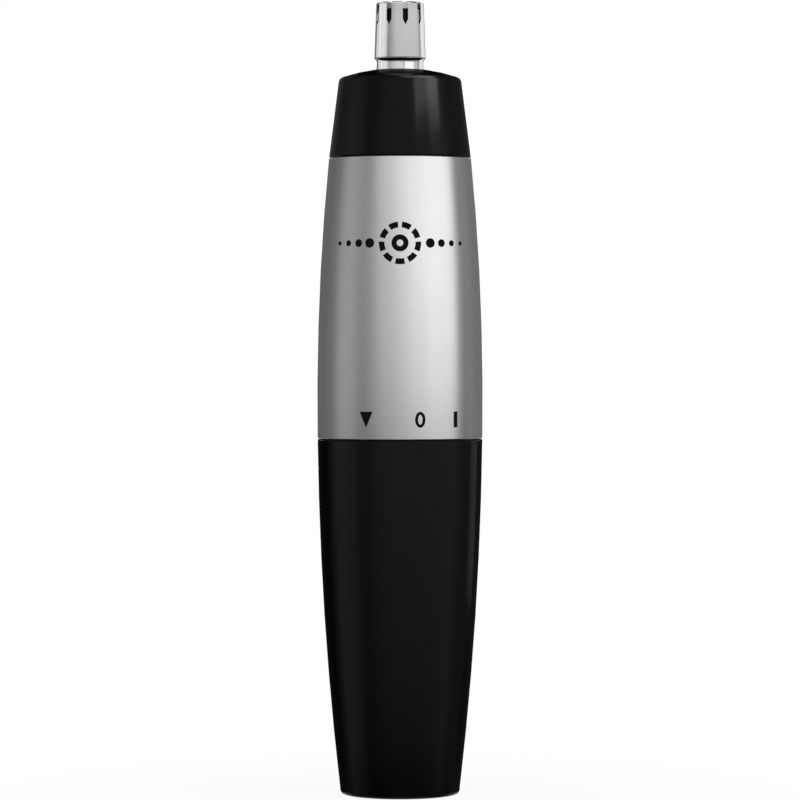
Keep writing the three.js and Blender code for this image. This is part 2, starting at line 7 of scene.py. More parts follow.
import json
from math import atan2, cos, degrees, hypot, pi, radians, sin, tan

import bmesh
import bpy
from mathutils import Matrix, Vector


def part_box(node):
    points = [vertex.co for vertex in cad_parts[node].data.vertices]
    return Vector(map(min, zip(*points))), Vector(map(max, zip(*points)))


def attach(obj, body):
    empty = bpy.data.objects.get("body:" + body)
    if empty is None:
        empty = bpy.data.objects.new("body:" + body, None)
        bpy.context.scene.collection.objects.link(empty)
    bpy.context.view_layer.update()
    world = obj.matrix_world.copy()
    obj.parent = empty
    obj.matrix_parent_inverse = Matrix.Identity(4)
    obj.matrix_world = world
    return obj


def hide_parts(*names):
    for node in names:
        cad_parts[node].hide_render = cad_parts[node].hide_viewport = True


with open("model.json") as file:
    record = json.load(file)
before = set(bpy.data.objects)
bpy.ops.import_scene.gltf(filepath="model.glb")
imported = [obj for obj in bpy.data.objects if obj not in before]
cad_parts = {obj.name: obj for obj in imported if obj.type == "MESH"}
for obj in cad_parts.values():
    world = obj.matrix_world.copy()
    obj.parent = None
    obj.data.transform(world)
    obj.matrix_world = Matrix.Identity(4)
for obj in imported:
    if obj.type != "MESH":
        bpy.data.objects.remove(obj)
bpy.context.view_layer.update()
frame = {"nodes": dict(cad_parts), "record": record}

MM = 0.001
COARSE_CORNER = 20  # an outline that turns more than this at a point, in degrees, has an edge there
STRAIGHT = 0.15  # and one that turns less than this runs straight on
ON_AXIS = 1e-3  # a radius below this is on the axis
OFF_VERTICES = 1e-5  # turns a section's plane, in radians, off the vertices that lie at round azimuths
BIG_ROUND = 192  # faces round a body shell
SMALL_ROUND = 120  # and round a piece of the head
STEM_ROUND = 128  # keeps the stem's corners off the sides of its lugs, where a union would leave open edges
CAP_ROUND = 180  # faces round the slotted cap
BEAD_FACES = 20  # faces round the section of a seal

# Features of the CAD that an outline can't carry. They are placed by azimuth.
POINTER = 14  # azimuth of the housing's pointer, under the barrel's 0
POINTER_SHAPE = {"half": 0.95, "drop": 2.2, "below": 0.2, "proud": 0.12, "root": 0.4}
TURN_ON = 27.6  # degrees from the 0 to the bar
TURN_OPEN = 37.9  # and to the release triangle
LUG = {"half": 10, "root": 10.9, "outer": 12.0, "bottom": 50.0, "top": 51.4}
TAB = {"inner": 11.4, "root": 12.8, "bottom": 51.9, "top": 53.3}
STOP = {"root": 12.81, "below": 0.5, "above": 0.01}  # the stops reach past the lugs and the tabs
LUG_CLEARANCE = 2  # degrees on each side of a lug
RIB = {"count": 6, "width": 0.9, "bottom": 1.5, "top": 44.0, "gap": 0.4, "root": 0.8, "steps": 6}
CLEAR_OF_TABS = 50  # an azimuth where a cut through the housing meets no rib, tab or stop
CLEAR_OF_LUGS = 60  # one where a cut through the stub meets no lug
CLEAR_OF_PRONGS = 90  # one where a cut through the drive shaft meets no prong
BETWEEN_SLOTS = 30  # and one where a cut through the cap meets no slot
SLOT = {"count": 9, "width": 0.9, "point": 128.0, "shoulder": 128.9, "inner": 2.2, "deep": 3, "first": 13}
HEAD_LUG = {"azimuth": 90, "half": 15, "root": 2.85, "outer": 4.05, "bottom": 112.3, "top": 113.5}
HEAD_TURN = 40  # degrees to the bays in the collar's ledge
LEDGE = {"inner": 3.3, "bottom": 113.8, "top": 115.1}
BAY = {"inward": 0.3, "outer": 4.3, "play": 3, "over": 0.1}  # the cuts that the head's lugs drop through
PRONG = {"half": 22, "inner": 1.9, "outer": 3.3, "bottom": 107.5}  # the drive shaft's two prongs
LOBE = {"half": 20, "inner": 1.2, "outer": 3, "top": 111.1, "lead": 47}  # the carrier's, between the prongs
# The cross in the carrier's end that holds the inner cutter; clear is an azimuth between its arms.
SEAT = {"azimuth": SLOT["first"] - 20, "width": 1.9, "reach": 3.2, "depth": 0.45, "clear": 128}
BATTERY_SPRING = {"bottom": 2.85, "top": 5.05, "turns": 3, "wire": 0.35, "wide": 4.4, "taper": 2.1}
BLADE_SPRING = {"bottom": 114.45, "top": 124.6, "turns": 6, "wire": 0.22, "wide": 2.0, "taper": 0.0}


# ---------------------------------------------------------------- reading outlines off the CAD nodes

def crossing(a, b, side_a, side_b):
    """Where the edge from a to b meets the plane that the two sides are measured from."""
    return a + (b - a) * (side_a / (side_a - side_b))


def section_segments(node, azimuth):
    """The cuts that the half plane at an azimuth makes through a node's triangles, as pairs of points."""
    angle = radians(azimuth) + OFF_VERTICES
    along = Vector((sin(angle), -cos(angle), 0))
    across = Vector((cos(angle), sin(angle), 0))
    mesh = frame["nodes"][node].data
    mesh.calc_loop_triangles()
    for triangle in mesh.loop_triangles:
        corners = [mesh.vertices[i].co / MM for i in triangle.vertices]
        sides = [corner.dot(across) for corner in corners]
        ends = []
        for i in range(3):
            a, b = corners[i], corners[(i + 1) % 3]
            side_a, side_b = sides[i], sides[(i + 1) % 3]
            if (side_a < 0) != (side_b < 0):
                point = crossing(a, b, side_a, side_b)
                ends.append((point.dot(along), point.z))
        if len(ends) == 2 and max(ends[0][0], ends[1][0]) > 1e-4:
            yield ends


def clipped(ends):
    """A cut that runs over the axis, ended at the axis."""
    (r0, z0), (r1, z1) = sorted(ends)
    if r0 < 0:
        z0 += (z1 - z0) * (0 - r0) / (r1 - r0)
        r0 = 0.0
    return (r0, z0), (r1, z1)


def joined(cuts):
    """The cuts in order, as one line of points."""
    def key(point):
        return round(point[0], 2), round(point[1], 2)

    links = {}
    for a, b in cuts:
        if key(a) != key(b):
            links.setdefault(key(a), []).append(b)
            links.setdefault(key(b), []).append(a)
    loose = [place for place, others in links.items() if len(others) == 1]
    start = min(loose, key=lambda place: place[1]) if loose else min(links)
    line, seen, place = [start], {start}, start
    while True:
        onward = [other for other in links[place] if key(other) not in seen]
        if not onward:
            return line
        place = key(onward[0])
        seen.add(place)
        line.append(place)


def turn_at(before, point, after):
    """How far a line turns at a point, in degrees, positive to the left."""
    back = atan2(point[1] - before[1], point[0] - before[0])
    on = atan2(after[1] - point[1], after[0] - point[0])
    return degrees((on - back + pi) % (2 * pi) - pi)


def outline_of(node, azimuth=0):
    """A turned CAD node's outline, up the outside and down the inside, without points on straight runs."""
    line = joined([clipped(ends) for ends in section_segments(node, azimuth)])
    area = sum(a[0] * b[1] - b[0] * a[1] for a, b in zip(line, line[1:] + line[:1]))
    if area < 0:
        line.reverse()
    open_line = min(r for r, z in line) < ON_AXIS
    if open_line:
        first = min(range(len(line)), key=lambda i: (line[i][0] > ON_AXIS, line[i][1]))
        line = line[first:] + line[:first]
    kept = []
    for i, point in enumerate(line):
        before = line[i - 1]
        after = line[(i + 1) % len(line)]
        at_end = open_line and i in (0, len(line) - 1)
        if at_end or abs(turn_at(before, point, after)) > STRAIGHT:
            kept.append(point)
    return kept


def rounded(outline, radius, steps=4):
    """The outline with an arc in place of each sharp corner that is off the axis."""
    soft = []
    for i, point in enumerate(outline):
        before = outline[i - 1]
        after = outline[(i + 1) % len(outline)]
        turn = radians(abs(turn_at(before, point, after)))
        if point[0] < ON_AXIS or degrees(turn) < COARSE_CORNER:
            soft.append(point)
            continue
        back = hypot(before[0] - point[0], before[1] - point[1])
        on = hypot(after[0] - point[0], after[1] - point[1])
        reach = min(radius * abs(sin(turn / 2) / max(cos(turn / 2), 1e-3)), 0.4 * back, 0.4 * on)
        start = [point[k] + (before[k] - point[k]) * reach / back for k in (0, 1)]
        end = [point[k] + (after[k] - point[k]) * reach / on for k in (0, 1)]
        for step in range(steps + 1):
            t = step / steps
            pull, bend, push = (1 - t) ** 2, 2 * t * (1 - t), t * t
            soft.append(tuple(pull * start[k] + bend * point[k] + push * end[k] for k in (0, 1)))
    return soft


# ---------------------------------------------------------------- mesh building

def make_object(name, bm):
    """A mesh object from a bmesh in millimetres, smooth across gentle edges."""
    bmesh.ops.remove_doubles(bm, verts=bm.verts, dist=1e-5)
    bmesh.ops.recalc_face_normals(bm, faces=bm.faces)
    bmesh.ops.scale(bm, vec=(MM, MM, MM), verts=bm.verts)
    mesh = bpy.data.meshes.new(name)
    bm.to_mesh(mesh)
    bm.free()
    made = bpy.data.objects.new(name, mesh)
    bpy.context.scene.collection.objects.link(made)
    smooth(made)
    return made


def smooth(piece, edge_angle=32):
    """Shades a piece smooth, except across edges sharper than an angle in degrees."""
    piece.data.shade_smooth()
    piece.data.set_sharp_from_angle(angle=radians(edge_angle))


def at(radius, azimuth, z):
    """The point at a radius, an azimuth and a height."""
    return Vector((radius * sin(radians(azimuth)), -radius * cos(radians(azimuth)), z))


def turned(name, outline, faces=BIG_ROUND):
    """An outline turned about the Z axis."""
    bm = bmesh.new()
    rings = []
    for radius, z in outline:
        if radius < ON_AXIS:
            rings.append([bm.verts.new((0, 0, z))] * faces)
        else:
            rings.append([bm.verts.new(at(radius, 360 * i / faces, z)) for i in range(faces)])
    pairs = list(zip(rings, rings[1:] + rings[:1]))
    if outline[0][0] < ON_AXIS:
        pairs.pop()
    for low, high in pairs:
        for i in range(faces):
            j = (i + 1) % faces
            corners = list(dict.fromkeys([low[i], low[j], high[j], high[i]]))
            if len(corners) > 2:
                bm.faces.new(corners)
    return make_object(name, bm)


def block(name, near, far):
    """A closed solid between two like outlines of points."""
    bm = bmesh.new()
    near, far = [[bm.verts.new(point) for point in ring] for ring in (near, far)]
    bm.faces.new(near)
    bm.faces.new(far)
    for i in range(len(near)):
        j = (i + 1) % len(near)
        bm.faces.new([near[i], near[j], far[j], far[i]])
    return make_object(name, bm)


def sector(name, inner, outer, azimuth, half, bottom, top, steps=24):
    """A block between two radii, centred on an azimuth."""
    sweep = [azimuth - half + 2 * half * i / steps for i in range(steps + 1)]
    places = [(outer, angle) for angle in sweep] + [(inner, angle) for angle in reversed(sweep)]
    low, high = [[at(radius, angle, z) for radius, angle in places] for z in (bottom, top)]
    return block(name, low, high)


def radial_prism(name, shape, near, far, azimuth):
    """A flat shape of (sideways, height) points that runs out from one radius to another along an azimuth."""
    out = at(1, azimuth, 0)
    side = Vector((-out.y, out.x, 0))
    near, far = [[out * reach + side * s + Vector((0, 0, z)) for s, z in shape] for reach in (near, far)]
    return block(name, near, far)


def fin(name, outline, width, azimuth):
    """An outline of (radius, height) points in the half plane at an azimuth, given a width."""
    out = at(1, azimuth, 0)
    side = Vector((-out.y, out.x, 0)) * (width / 2)
    left, right = [[out * r + shift + Vector((0, 0, z)) for r, z in outline] for shift in (side, -side)]
    return block(name, left, right)


def outside_of(node, azimuth=0):
    """A function that gives the outer radius of a turned CAD node at a height."""
    outline = outline_of(node, azimuth)
    runs = [(a, b) for a, b in zip(outline, outline[1:] + outline[:1]) if b[1] > a[1] + 0.05]

    def radius(z):
        found = [a[0] + (b[0] - a[0]) * (z - a[1]) / (b[1] - a[1]) for a, b in runs if a[1] <= z <= b[1]]
        return max(found)
    return radius


def apply_modifiers(piece):
    """Replaces a piece's mesh by what its modifiers make of it."""
    shown = piece.evaluated_get(bpy.context.evaluated_depsgraph_get())
    mesh = bpy.data.meshes.new_from_object(shown)
    piece.modifiers.clear()
    piece.data = mesh
    smooth(piece)


def combine(piece, tools, operation):
    """Joins tools to a piece (UNION) or cuts them from it (DIFFERENCE)."""
    for tool in tools:
        modifier = piece.modifiers.new(tool.name, "BOOLEAN")
        modifier.operation = operation
        modifier.solver = "EXACT"
        modifier.object = tool
    apply_modifiers(piece)
    for tool in tools:
        bpy.data.objects.remove(tool)
    return piece


def bevelled(piece, width):
    """Rounds the sharp edges of a piece when it is shown."""
    modifier = piece.modifiers.new("edges", "BEVEL")
    modifier.width = width * MM
    modifier.segments = 2
    modifier.limit_method = "ANGLE"
    modifier.angle_limit = radians(35)
    return piece


def wound(name, spring, per_turn=40):
    """A coil spring with closed ends. Its radius is wide at the bottom, and less by its taper at the top."""
    curve = bpy.data.curves.new(name, "CURVE")
    curve.dimensions = "3D"
    curve.bevel_depth = spring["wire"] * MM
    curve.bevel_resolution = 5
    curve.use_fill_caps = True
    count = spring["turns"] * per_turn + 1
    spline = curve.splines.new("POLY")
    spline.points.add(count - 1)
    for i in range(count):
        t = i / (count - 1)
        rise = t * t * (3 - 2 * t)
        radius = spring["wide"] - spring["taper"] * t
        height = spring["bottom"] + (spring["top"] - spring["bottom"]) * rise
        point = at(radius, 360 * spring["turns"] * t + 90, height)
        spline.points[i].co = (*(point * MM), 1)
    shell = bpy.data.objects.new(name, curve)
    bpy.context.scene.collection.objects.link(shell)
    mesh = bpy.data.meshes.new_from_object(shell.evaluated_get(bpy.context.evaluated_depsgraph_get()))
    bpy.data.objects.remove(shell)
    made = bpy.data.objects.new(name, mesh)
    bpy.context.scene.collection.objects.link(made)
    smooth(made)
    return made


# ---------------------------------------------------------------- finishes

NOISE_SPAN = (0.3, 0.7)  # most of a noise texture's values lie between these
GRAIN_SCALE = 180
COAT_ROUGHNESS = 0.08
RELIEF_DEPTH = 0.02  # in millimetres, at a bump of 1


def finish(name, color, metallic=0.0, roughness=0.4, specular=0.5, speckle=0.0, grain=0.0, bump=0.0,
           bump_scale=4000.0, stretch=(1, 1, 1), coat=0.0):
    """A Principled finish: speckle varies its colour, grain its roughness, and bump its relief."""
    material = bpy.data.materials.new(name)
    material.use_nodes = True
    nodes, links = material.node_tree.nodes, material.node_tree.links
    shader = nodes["Principled BSDF"]
    shader.inputs["Metallic"].default_value = metallic
    shader.inputs["Specular IOR Level"].default_value = specular
    shader.inputs["Coat Weight"].default_value = coat
    shader.inputs["Coat Roughness"].default_value = COAT_ROUGHNESS
    place = nodes.new("ShaderNodeTexCoord")
    stretched = nodes.new("ShaderNodeMapping")
    stretched.inputs["Scale"].default_value = stretch
    links.new(place.outputs["Object"], stretched.inputs["Vector"])

    def noise(scale, detail):
        made = nodes.new("ShaderNodeTexNoise")
        made.inputs["Scale"].default_value = scale
        made.inputs["Detail"].default_value = detail
        links.new(stretched.outputs["Vector"], made.inputs["Vector"])
        return made.outputs["Fac"]

    def spread(value, low, high):
        made = nodes.new("ShaderNodeMapRange")
        made.inputs["From Min"].default_value, made.inputs["From Max"].default_value = NOISE_SPAN
        made.inputs["To Min"].default_value = low
        made.inputs["To Max"].default_value = high
        links.new(value, made.inputs["Value"])
        return made.outputs["Result"]

    tint = nodes.new("ShaderNodeMix")
    tint.data_type = "RGBA"
    tint.inputs["A"].default_value = (*[channel * (1 - speckle) for channel in color], 1)
    tint.inputs["B"].default_value = (*[min(1, channel * (1 + speckle)) for channel in color], 1)
    links.new(spread(noise(bump_scale / 3, 3), 0, 1), tint.inputs["Factor"])
    links.new(tint.outputs["Result"], shader.inputs["Base Color"])
    links.new(spread(noise(GRAIN_SCALE, 4), roughness - grain, roughness + grain), shader.inputs["Roughness"])
    relief = nodes.new("ShaderNodeBump")
    relief.inputs["Strength"].default_value = bump
    relief.inputs["Distance"].default_value = RELIEF_DEPTH * MM
    links.new(noise(bump_scale, 2), relief.inputs["Height"])
    links.new(relief.outputs["Normal"], shader.inputs["Normal"])
    return material


FINISHES = {
    "black_gloss": finish(
        "moulded_black", (0.0012, 0.0012, 0.0014), roughness=0.16, specular=0.2, grain=0.02, speckle=0.2,
        bump=0.02),
    "black_matte": finish(
        "plain_black", (0.012, 0.012, 0.013), roughness=0.55, specular=0.3, grain=0.06, speckle=0.2,
        bump=0.12),
    "silver": finish(
        "silver_lacquer", (0.56, 0.565, 0.575), metallic=1.0, roughness=0.3, grain=0.015, speckle=0.03,
        bump=0.03, bump_scale=9000.0),
    "chrome": finish(
        "polished_plating", (0.80, 0.805, 0.815), metallic=1.0, roughness=0.07, grain=0.02, speckle=0.01,
        bump=0.01, bump_scale=2500.0, stretch=(1, 1, 0.1)),
    "steel": finish(
        "plain_steel", (0.52, 0.53, 0.545), metallic=1.0, roughness=0.34, grain=0.06, speckle=0.05, bump=0.08,
        bump_scale=3000.0, stretch=(1, 1, 0.05)),
    "blade": finish(
        "ground_steel", (0.66, 0.665, 0.68), metallic=1.0, roughness=0.22, grain=0.04, speckle=0.05, bump=0.1,
        bump_scale=5000.0, stretch=(1, 1, 0.05)),
    "brass": finish(
        "stamped_brass", (0.72, 0.54, 0.24), metallic=1.0, roughness=0.3, grain=0.06, speckle=0.08, bump=0.06,
        stretch=(1, 1, 0.2)),
    "copper": finish(
        "enamelled_copper", (0.60, 0.28, 0.14), metallic=1.0, roughness=0.3, grain=0.05, speckle=0.15,
        bump=0.4, bump_scale=1500.0, stretch=(0.1, 0.1, 3), coat=0.5),
    "magnet": finish(
        "sintered_ferrite", (0.05, 0.05, 0.052), roughness=0.75, grain=0.08, speckle=0.3, bump=0.3),
    "rubber": finish(
        "seal_rubber", (0.012, 0.012, 0.013), roughness=0.5, specular=0.35, grain=0.06, speckle=0.2,
        bump=0.1),
    "ivory": finish(
        "ivory_plastic", (0.74, 0.71, 0.62), roughness=0.42, grain=0.05, speckle=0.03, bump=0.08),
    "red_insulation": finish(
        "red_sleeve", (0.42, 0.03, 0.02), roughness=0.38, grain=0.05, speckle=0.08, bump=0.05),
    "wrapper": finish(
        "printed_sleeve", (0.05, 0.16, 0.11), roughness=0.24, grain=0.04, speckle=0.06, bump=0.03, coat=0.6),
    "fibre": finish(
        "pressed_fibre", (0.66, 0.62, 0.52), roughness=0.85, grain=0.06, speckle=0.12, bump=0.5,
        bump_scale=1500.0),
}
PRINT = finish(
    "black_print", (0.003, 0.003, 0.0035), roughness=0.5, specular=0.15, grain=0.05, speckle=0.25, bump=0.15)
# Painted shade: a near-black steel for the cap's inner and under faces and its slot walls, where little light
# gets in.
SHADE_PAINTED_STEEL = finish(
    "steel_painted_shade", (0.03, 0.03, 0.032), metallic=0.6, roughness=0.5, grain=0.08, speckle=0.2, bump=0.1)
# Painted shade: the moulded black with almost no reflection, for the collar dome's top faces, so the dome
# doesn't mirror the bright neck.
DOME_BLACK_PAINTED_SHADE = finish(
    "black_painted_shade_no_reflection", (0.0012, 0.0012, 0.0014), roughness=0.35, specular=0.005, grain=0.02, speckle=0.2,
    bump=0.02)

SLOT_OF = {entry["node"]: entry["material_slot"] for entry in frame["record"]["subparts"]}
BODY_OF = {node: body for body, nodes in frame["record"]["behaviour"]["bodies"].items() for node in nodes}


def paint(piece, material):
    piece.data.materials.clear()
    piece.data.materials.append(material)


def paint_faces(piece, material, chosen):
    """Gives a second material to the faces that chosen(face) picks."""
    piece.data.materials.append(material)
    for face in piece.data.polygons:
        if chosen(face):
            face.material_index = 1


def stand_for(piece, node):
    """The fine piece takes a CAD node's place, body and finish."""
    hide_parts(node)
    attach(piece, BODY_OF[node])
    paint(piece, FINISHES[SLOT_OF[node]])
    return piece


# ---------------------------------------------------------------- battery housing and cell

def housing_ribs():
    """Fins that hold the cell upright, each rooted in the middle of the housing's wall."""
    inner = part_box("battery_wrapper")[1].x / MM + RIB["gap"]
    outside = outside_of("battery_housing", CLEAR_OF_TABS)
    steps = RIB["steps"]
    heights = [RIB["bottom"] + (RIB["top"] - RIB["bottom"]) * i / steps for i in range(steps + 1)]
    edge = [(outside(z) - RIB["root"], z) for z in heights]
    outline = [(inner, RIB["bottom"])] + edge + [(inner, RIB["top"])]
    step = 360 / RIB["count"]
    return [fin(f"rib_{i}", outline, RIB["width"], step * (i + 0.5)) for i in range(RIB["count"])]


def bayonet_tabs():
    """The three tabs in the housing's mouth, and the stops at their ends."""
    free = LUG["half"] + LUG_CLEARANCE
    opened = POINTER + TURN_OPEN
    stop_half = (120 - TURN_ON - TURN_OPEN - 2 * free) / 2
    low, high = LUG["bottom"] - STOP["below"], TAB["top"] + STOP["above"]
    parts = []
    for turn in (0, 120, 240):
        parts.append(sector(f"tab_{turn}", TAB["inner"], TAB["root"], opened + 60 + turn, 60 - free,
                            TAB["bottom"], TAB["top"], 48))
        parts.append(sector(f"stop_{turn}", TAB["inner"], STOP["root"], opened + free + stop_half + turn,
                            stop_half, low, high, 16))
    return parts


def raised_pointer():
    """The small raised triangle under the housing's rim."""
    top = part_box("battery_housing")[1].z / MM
    rim = outside_of("battery_housing", CLEAR_OF_TABS)(top - 1)
    high = top - POINTER_SHAPE["below"]
    half = POINTER_SHAPE["half"]
    shape = [(-half, high), (0, high - POINTER_SHAPE["drop"]), (half, high)]
    return radial_prism("pointer", shape, rim - POINTER_SHAPE["root"], rim + POINTER_SHAPE["proud"], POINTER)


def build_housing():
    shell = turned("housing_shell", rounded(outline_of("battery_housing", CLEAR_OF_TABS), 0.12))
    combine(shell, housing_ribs() + bayonet_tabs() + [raised_pointer()], "UNION")
    return stand_for(shell, "battery_housing")


housing = build_housing()
CELL_PIECES = {"battery_can": 0.4, "battery_base": 0.25, "battery_wrapper": 0.08, "battery_cap": 0.2,
               "battery_insulator": 0.05}
for plain, softness in CELL_PIECES.items():
    stand_for(turned("fine_" + plain, rounded(outline_of(plain), softness)), plain)

# ---------------------------------------------------------------- upper body

sleeve = stand_for(turned("sleeve_shell", rounded(outline_of("barrel_sleeve"), 0.08)), "barrel_sleeve")


def build_collar():
    shell = turned("collar_shell", rounded(outline_of("nose_collar"), 0.18))
    bays = [sector(f"bay_{turn}", LEDGE["inner"] - BAY["inward"], BAY["outer"],
                   HEAD_LUG["azimuth"] + HEAD_TURN + turn, HEAD_LUG["half"] + BAY["play"],
                   LEDGE["bottom"] - BAY["over"], LEDGE["top"] + BAY["over"]) for turn in (0, 180)]
    stand_for(combine(shell, bays, "DIFFERENCE"), "nose_collar")
    # The dome's top faces take the black without reflection: painted shade.
    paint_faces(shell, DOME_BLACK_PAINTED_SHADE, lambda face: face.normal.z > 0.9)
    return shell


collar = build_collar()


def build_stub():
    stub = turned("stub_tube", rounded(outline_of("bayonet_stub", CLEAR_OF_LUGS), 0.12))
    lugs = [sector(f"lug_{turn}", LUG["root"], LUG["outer"], POINTER + turn, LUG["half"],
                   LUG["bottom"], LUG["top"]) for turn in (0, 120, 240)]
    return stand_for(combine(stub, lugs, "UNION"), "bayonet_stub")


build_stub()


def build_drive_shaft():
    shaft = turned("drive_spindle", rounded(outline_of("drive_shaft", CLEAR_OF_PRONGS), 0.15), SMALL_ROUND)
    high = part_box("drive_shaft")[1].z / MM
    prongs = [sector(f"prong_{turn}", PRONG["inner"], PRONG["outer"], turn, PRONG["half"],
                     PRONG["bottom"], high) for turn in (0, 180)]
    return stand_for(combine(shaft, prongs, "UNION"), "drive_shaft")


build_drive_shaft()


def bead(node):
    """A seal ring of true round section where the CAD has a many-sided one."""
    low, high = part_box(node)
    thick = (high.z - low.z) / 2 / MM
    middle = (high.z + low.z) / 2 / MM
    major = high.x / MM - thick
    angles = [2 * pi * i / BEAD_FACES for i in range(BEAD_FACES)]
    circle = [(major + thick * cos(angle), middle + thick * sin(angle)) for angle in angles]
    return stand_for(turned("fine_" + node, circle), node)


bead("housing_seal")
bead("head_seal")

# ---------------------------------------------------------------- head

def build_head_base():
    base = turned("head_stem", rounded(outline_of("head_base"), 0.04), STEM_ROUND)
    lugs = [sector(f"head_lug_{turn}", HEAD_LUG["root"], HEAD_LUG["outer"], HEAD_LUG["azimuth"] + turn,
                   HEAD_LUG["half"], HEAD_LUG["bottom"], HEAD_LUG["top"]) for turn in (0, 180)]
    return stand_for(combine(base, lugs, "UNION"), "head_base")


def build_outer_cutter():
    cap = turned("slotted_cap", rounded(outline_of("outer_cutter", BETWEEN_SLOTS), 0.04), CAP_ROUND)
    half, high = SLOT["width"] / 2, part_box("outer_cutter")[1].z / MM + 1
    shoulder, near, far = SLOT["shoulder"], SLOT["inner"], SLOT["inner"] + SLOT["deep"]
    shape = [(-half, high), (-half, shoulder), (0, SLOT["point"]), (half, shoulder), (half, high)]
    slots = [radial_prism(f"slot_{i}", shape, near, far, SLOT["first"] + 360 * i / SLOT["count"])
             for i in range(SLOT["count"])]
    combine(cap, slots, "DIFFERENCE")
    stand_for(cap, "outer_cutter")

    def faces_inward(face):
        outward = Vector((face.center.x, face.center.y, 0)).normalized()
        return face.normal.dot(outward) < -0.3 or face.normal.z < -0.6

    # The inner, under and slot-wall faces take the near-black steel: painted shade inside the cap.
    paint_faces(cap, SHADE_PAINTED_STEEL, faces_inward)
    return bevelled(cap, 0.03)


def build_carrier():
    carrier = turned("spindle_body", rounded(outline_of("cutter_carrier", SEAT["clear"]), 0.1), SMALL_ROUND)
    low, high = [corner.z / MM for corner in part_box("cutter_carrier")]
    lobes = [sector(f"lobe_{turn}", LOBE["inner"], LOBE["outer"], LOBE["lead"] + turn, LOBE["half"],
                    low, LOBE["top"]) for turn in (0, 180)]
    combine(carrier, lobes, "UNION")
    reach, floor = SEAT["reach"], high - SEAT["depth"]
    outline = [(-reach, floor), (reach, floor), (reach, high + 1), (-reach, high + 1)]
    seats = [fin(f"seat_{turn}", outline, SEAT["width"], SEAT["azimuth"] + turn) for turn in (0, 90)]
    return stand_for(combine(carrier, seats, "DIFFERENCE"), "cutter_carrier")


head_base = build_head_base()
plated = [head_base, build_outer_cutter()]
build_carrier()
stand_for(turned("fine_spindle_bush", rounded(outline_of("spindle_bush"), 0.1), SMALL_ROUND), "spindle_bush")
stand_for(wound("fine_battery_spring", BATTERY_SPRING), "battery_spring")
stand_for(wound("fine_blade_spring", BLADE_SPRING), "blade_spring")

# ---------------------------------------------------------------- pieces shown as the CAD made them

for node, piece in frame["nodes"].items():
    if not piece.hide_render:
        paint(piece, FINISHES[SLOT_OF[node]])
        smooth(piece, edge_angle=25)

# ---------------------------------------------------------------- printed marks on the barrel

barrel_radius = outside_of("barrel_sleeve")
PRINT_LIFT = 0.025  # how far the ink stands proud of the lacquer
PRINT_ROOT = -0.03  # its underside is in the lacquer


def on_barrel(s, z, azimuth, lift):
    """The point a distance s round the barrel from an azimuth."""
    radius = barrel_radius(z)
    return at(radius + lift, azimuth + degrees(s / radius), z)


def ribbon(bm, stations, azimuth, z0, closed=False, across=6):
    """A thin inked patch: each station is a line across it, from one (s, z) point to another."""
    layers = []
    for lift in (PRINT_ROOT, PRINT_LIFT):
        rows = []
        for (s0, h0), (s1, h1) in stations:
            rows.append([bm.verts.new(on_barrel(s0 + (s1 - s0) * k / across, z0 + h0 + (h1 - h0) * k / across,
                                                azimuth, lift)) for k in range(across + 1)])
        layers.append(rows)
    low, high = layers
    count = len(stations)
    for i in range(count if closed else count - 1):
        j = (i + 1) % count
        for k in range(across):
            bm.faces.new([high[i][k], high[j][k], high[j][k + 1], high[i][k + 1]])
            bm.faces.new([low[i][k + 1], low[j][k + 1], low[j][k], low[i][k]])
        for k in (0, across):
            bm.faces.new([low[i][k], low[j][k], high[j][k], high[i][k]])
    if not closed:
        for i in (0, count - 1):
            for k in range(across):
                bm.faces.new([low[i][k], low[i][k + 1], high[i][k + 1], high[i][k]])


def arc_stations(inner, outer, start, end, steps):
    """Stations of a ring or an oval, or of a part of one, between two pairs of half axes."""
    stations = []
    for i in range(steps + 1):
        angle = radians(start + (end - start) * i / steps)
        stations.append(((inner[0] * cos(angle), inner[1] * sin(angle)),
                         (outer[0] * cos(angle), outer[1] * sin(angle))))
    return stations


def printed(name, draw):
    bm = bmesh.new()
    draw(bm)
    piece = make_object(name, bm)
    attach(piece, "upper_body")
    paint(piece, PRINT)
    return piece


MARK = {"bottom": 61.35, "height": 2.6, "stroke": 0.49}
MARK_MIDDLE = MARK["bottom"] + MARK["height"] / 2


def draw_zero(bm):
    half_width, half_height = 0.87, MARK["height"] / 2
    inner = (half_width - MARK["stroke"], half_height - MARK["stroke"])
    stations = arc_stations(inner, (half_width, half_height), 0, 360, 48)[:-1]
    ribbon(bm, stations, POINTER, MARK_MIDDLE, closed=True, across=3)


def draw_one(bm):
    half_width, half_height = 0.39, MARK["height"] / 2
    stations = [((-half_width, h), (half_width, h)) for h in (-half_height, 0, half_height)]
    ribbon(bm, stations, POINTER + TURN_ON, MARK_MIDDLE, across=2)


def draw_release(bm):
    half_width, half_height = 1.15, MARK["height"] / 2
    steps = 10
    stations = []
    for i in range(steps + 1):
        h = -half_height + MARK["height"] * i / steps
        half = max(half_width * i / steps, 0.02)
        stations.append(((-half, h), (half, h)))
    ribbon(bm, stations, POINTER - TURN_OPEN, MARK_MIDDLE)


EMBLEM = {"middle": 91.6, "outer": 3.5, "inner": 2.55, "hub": 1.4, "hole": 0.55, "teeth": 9, "gap": 12}
DOTS = {"first": 5.1, "step": 2.05, "count": 4, "radius": 0.78, "shrink": 0.14}


def draw_ring(bm, inner, outer, place=0.0, start=0, sweep=360):
    """A flat ring, or a part of one, a distance round the barrel from the front."""
    whole = sweep == 360
    steps = max(8, int(sweep / 9))
    stations = arc_stations((inner, inner), (outer, outer), start, start + sweep, steps)
    ribbon(bm, stations[:-1] if whole else stations, degrees(place / barrel_radius(EMBLEM["middle"])),
           EMBLEM["middle"], closed=whole, across=3)


